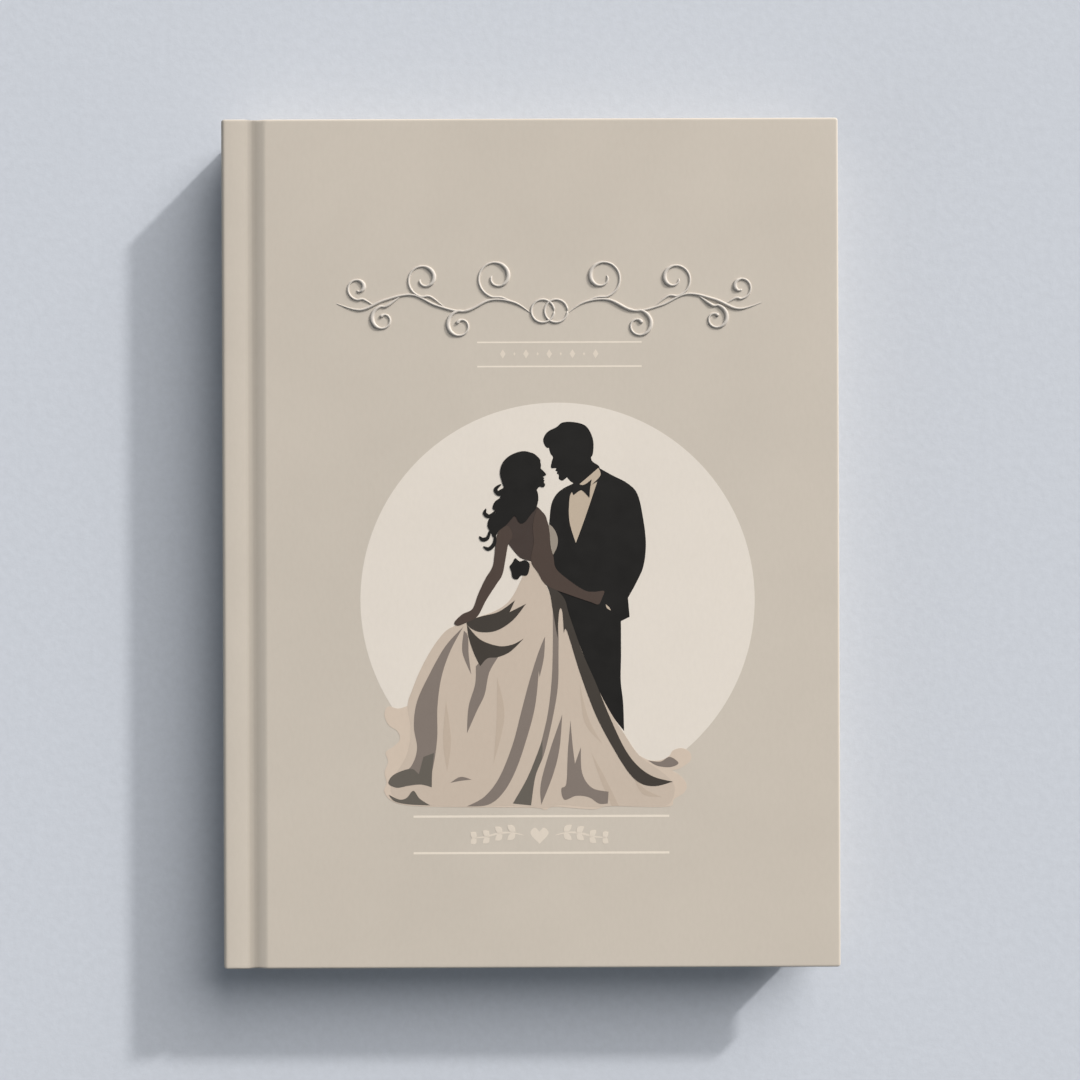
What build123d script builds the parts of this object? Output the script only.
"""A case-bound guest book, lying closed on its back cover.

Units are millimetres. The origin is the centre of the bottom face, +X runs from the spine to
the fore edge, +Y from the tail to the head, and +Z from the back cover to the front cover.

The case is a front board, a back board and a spine board in a printed wrap that folds along
two hinge lines at the corners of the spine. The text block is eight sewn signatures with
endpapers. It opens flat in the middle, so everything above the middle is a front half that
turns over with the front cover.
"""
import os

from build123d import *

# The closed case
case_width = 157.0
case_height = 216.0
case_thickness = 16.0
middle_z = case_thickness / 2

# Layers of a cover, from the outside in
skin = 0.4
turn_in_thickness = 0.3
pastedown_thickness = 0.25
cover_thickness = 3.0
board_thickness = cover_thickness - skin - turn_in_thickness - pastedown_thickness
turn_in_width = 15.0
pastedown_margin = 4.0

# Hinge: the fold bead at the spine corner, then a shoulder strip, then the groove
bead_radius = 1.2
strip_gap = 0.1
strip_thickness = 0.9
shoulder_end = 6.4
groove_width = 5.2
groove_depth = 1.0
groove_slope = 1.6
groove_radius = 1.2

# Rounding of the wrapped board's edges
edge_radius = 0.5
corner_radius = 0.8

# Spine board
spine_turn_in_thickness = 0.3
spine_board_end_gap = 0.2

# Text block
leaf_width = 148.0
leaf_height = 210.0
fore_edge_square = 4.0
signatures_per_half = 4
flyleaf_thickness = 0.2
cover_clearance = 0.3
opening_gap = 0.1
fold_radius = 0.55

# What holds the text block together at the spine
mull_thickness = 0.15
mull_height = 192.0
kraft_thickness = 0.12
kraft_height = 208.0
band_radius = 0.8
band_setback = 0.05
tongue_thickness = 0.12
tongue_height = 8.0
thread_radius = 0.12
thread_span = 34.0
station_pitch = 40.0
odd_valley_runs = (-1.5, 0.5)
even_valley_runs = (-0.5, 1.5)

# Places worked out from the dimensions above
fore_x = case_width / 2
spine_x = -fore_x
half_height = case_height / 2
hinge_x = spine_x + bead_radius
hinge_z = case_thickness - bead_radius
strip_x = hinge_x + bead_radius + strip_gap
groove_x = spine_x + shoulder_end
board_start = groove_x + groove_width + skin
board_top = case_thickness - skin
board_bottom = board_top - board_thickness
window_end = fore_x - turn_in_width
window_half_height = half_height - turn_in_width
wrap_bottom = board_bottom - turn_in_thickness
cover_inside = case_thickness - cover_thickness
leaf_end = fore_x - fore_edge_square
fold_x = leaf_end - leaf_width
half_block_top = cover_inside - cover_clearance
half_block_bottom = middle_z + opening_gap / 2
signature_thickness = (half_block_top - half_block_bottom - flyleaf_thickness) / signatures_per_half
middle = Plane.XY.offset(middle_z)

os.makedirs("parts", exist_ok=True)


def save(part, name):
    """Label a finished piece and write its STEP file."""
    part.label = name
    export_step(part, f"parts/{name}.step")


def save_pair(part, front_name, back_name):
    """Save a piece of the front half and its mirror image in the back half."""
    with BuildPart() as twin:
        mirror(part, about=middle)
    save(part, front_name)
    save(twin.part, back_name)


# --- Covers ---------------------------------------------------------------------------------

# Greyboard panel, from the groove to the fore edge
with BuildPart() as front_board:
    with BuildSketch(Plane.XY.offset(board_bottom)):
        with Locations(((board_start + fore_x - skin) / 2, 0)):
            Rectangle(fore_x - skin - board_start, case_height - 2 * skin)
    extrude(amount=board_thickness)
save_pair(front_board.part, "front_board", "back_board")

# Printed wrap of one cover: shoulder strip, groove, skin over the board, and turn-ins
with BuildPart() as front_cover_wrap:
    top = case_thickness
    floor = case_thickness - groove_depth
    groove_end = groove_x + groove_width
    with BuildSketch(Plane.XZ) as wrap_section:
        with BuildLine():
            Polyline(
                (strip_x, top),
                (groove_x, top),
                (groove_x + groove_slope, floor),
                (groove_end - groove_slope, floor),
                (groove_end, top),
                (fore_x, top),
                (fore_x, wrap_bottom),
                (groove_end, wrap_bottom),
                (groove_end, floor - strip_thickness),
                (groove_x + groove_slope, floor - strip_thickness),
                (groove_x, top - strip_thickness),
                (strip_x, top - strip_thickness),
                close=True,
            )
        make_face()
        outer_corners = wrap_section.vertices().filter_by_position(Axis.Y, floor, top)
        fillet(outer_corners.filter_by_position(Axis.X, groove_x, groove_end), groove_radius)
    extrude(amount=half_height, both=True)
    upright = front_cover_wrap.edges().filter_by(Axis.Z)
    fillet(upright.group_by(Axis.X)[-1], corner_radius)
    with BuildSketch(Plane.XY.offset(board_bottom)):
        with Locations(((board_start + fore_x - skin) / 2, 0)):
            Rectangle(fore_x - skin - board_start, case_height - 2 * skin)
    extrude(amount=board_thickness, mode=Mode.SUBTRACT)
    with BuildSketch(Plane.XY.offset(wrap_bottom)):
        with Locations(((board_start + window_end) / 2, 0)):
            Rectangle(window_end - board_start, 2 * window_half_height)
    extrude(amount=turn_in_thickness, mode=Mode.SUBTRACT)
    board_face = front_cover_wrap.faces().group_by(Axis.Z)[-1].sort_by(SortBy.AREA)[-1]
    rim = board_face.edges() - board_face.edges().filter_by(Axis.Y).sort_by(Axis.X)[:1]
    fillet(rim, edge_radius)
save_pair(front_cover_wrap.part, "front_cover_wrap", "back_cover_wrap")

# Endpaper glued to the inside of a cover, filling the well between the turn-ins
with BuildPart() as front_pastedown:
    with BuildSketch(Plane.XY.offset(cover_inside)):
        with Locations(((board_start + fore_x - pastedown_margin) / 2, 0)):
            Rectangle(fore_x - pastedown_margin - board_start, case_height - 2 * pastedown_margin)
    extrude(amount=pastedown_thickness)
    with BuildSketch(Plane.XY.offset(wrap_bottom)):
        with Locations(((board_start + window_end) / 2, 0)):
            Rectangle(window_end - board_start, 2 * window_half_height)
    extrude(amount=turn_in_thickness)
save_pair(front_pastedown.part, "front_pastedown", "back_pastedown")

# --- Spine ----------------------------------------------------------------------------------

spine_thickness = 2 * bead_radius
spine_inner_x = spine_x + spine_thickness
spine_board_height = 2 * (hinge_z - middle_z - bead_radius - spine_board_end_gap)
spine_board_thickness = spine_thickness - skin - spine_turn_in_thickness

# Narrow board down the spine, between the two fold beads
with BuildPart() as spine_board:
    with BuildSketch(Plane.XZ):
        with Locations((spine_x + skin + spine_board_thickness / 2, middle_z)):
            Rectangle(spine_board_thickness, spine_board_height)
    extrude(amount=half_height - skin, both=True)
save(spine_board.part, "spine_board")

# Printed wrap of the spine: its rounded ends are the fold beads on the two hinge axes
with BuildPart() as spine_wrap:
    with BuildSketch(Plane.XZ):
        with Locations((hinge_x, middle_z)):
            SlotCenterToCenter(2 * (hinge_z - middle_z), spine_thickness, rotation=90)
    extrude(amount=half_height, both=True)
    with BuildSketch(Plane.XZ):
        with Locations((spine_x + skin + spine_board_thickness / 2, middle_z)):
            Rectangle(spine_board_thickness, spine_board_height)
    extrude(amount=half_height - skin, both=True, mode=Mode.SUBTRACT)
    with BuildSketch(Plane.XZ):
        with Locations((spine_inner_x - spine_turn_in_thickness / 2, middle_z)):
            Rectangle(spine_turn_in_thickness, spine_board_height)
    extrude(amount=window_half_height, both=True, mode=Mode.SUBTRACT)
save(spine_wrap.part, "spine_wrap")

# --- Text block -----------------------------------------------------------------------------

# Free half of the endpaper, outermost in the half block
with BuildPart() as front_flyleaf:
    with BuildSketch(Plane.XY.offset(half_block_top - flyleaf_thickness)):
        with Locations(((fold_x + leaf_end) / 2, 0)):
            Rectangle(leaf_width, leaf_height)
    extrude(amount=flyleaf_thickness)
save_pair(front_flyleaf.part, "front_flyleaf", "back_flyleaf")

# Folded signatures, numbered outwards from the middle opening, with rounded folds
for number in range(signatures_per_half):
    low_z = half_block_bottom + number * signature_thickness
    with BuildPart() as signature:
        with BuildSketch(Plane.XZ) as signature_section:
            with Locations(((fold_x + leaf_end) / 2, low_z + signature_thickness / 2)):
                Rectangle(leaf_width, signature_thickness)
            fillet(signature_section.vertices().group_by(Axis.X)[0], fold_radius)
        extrude(amount=leaf_height / 2, both=True)
    save_pair(signature.part, f"front_signature_{number + 1}", f"rear_signature_{number + 1}")

# Sewing thread: runs of thread between the stations, in the valleys between the folds. The
# runs of neighbouring valleys are staggered by one station.
with BuildPart() as front_sewing_thread:
    thread_x = fold_x + thread_radius
    for number in range(1, signatures_per_half):
        valley_z = half_block_bottom + number * signature_thickness
        for run in odd_valley_runs if number % 2 else even_valley_runs:
            run_y = run * station_pitch
            with BuildSketch(Plane.XZ.offset(thread_span / 2 - run_y)):
                with Locations((thread_x, valley_z)):
                    Circle(thread_radius)
            extrude(amount=-thread_span)
save_pair(front_sewing_thread.part, "front_sewing_thread", "rear_sewing_thread")

# Gauze glued over the folds
with BuildPart() as front_mull:
    with BuildSketch(Plane.XY.offset(half_block_bottom)):
        with Locations((fold_x - mull_thickness / 2, 0)):
            Rectangle(mull_thickness, mull_height)
    extrude(amount=half_block_top - half_block_bottom)
save_pair(front_mull.part, "front_mull", "rear_mull")

# Kraft paper glued over the gauze
with BuildPart() as front_kraft_lining:
    with BuildSketch(Plane.XY.offset(half_block_bottom)):
        with Locations((fold_x - mull_thickness - kraft_thickness / 2, 0)):
            Rectangle(kraft_thickness, kraft_height)
    extrude(amount=half_block_top - half_block_bottom)
save_pair(front_kraft_lining.part, "front_kraft_lining", "rear_kraft_lining")

# Woven band: a bead standing on the end of the folds, and a tongue glued down over them
with BuildPart() as front_head_band:
    back_x = fold_x - mull_thickness - kraft_thickness + band_setback
    with BuildSketch(Plane.XY.offset(half_block_bottom)):
        with Locations((back_x + band_radius, leaf_height / 2 + band_radius)):
            Circle(band_radius)
        with Locations((fold_x - tongue_thickness / 2, (leaf_height + band_radius - tongue_height) / 2)):
            Rectangle(tongue_thickness, tongue_height + band_radius)
    extrude(amount=half_block_top - half_block_bottom)
save_pair(front_head_band.part, "front_head_band", "rear_head_band")

with BuildPart() as front_tail_band:
    mirror(front_head_band.part, about=Plane.XZ)
save_pair(front_tail_band.part, "front_tail_band", "rear_tail_band")
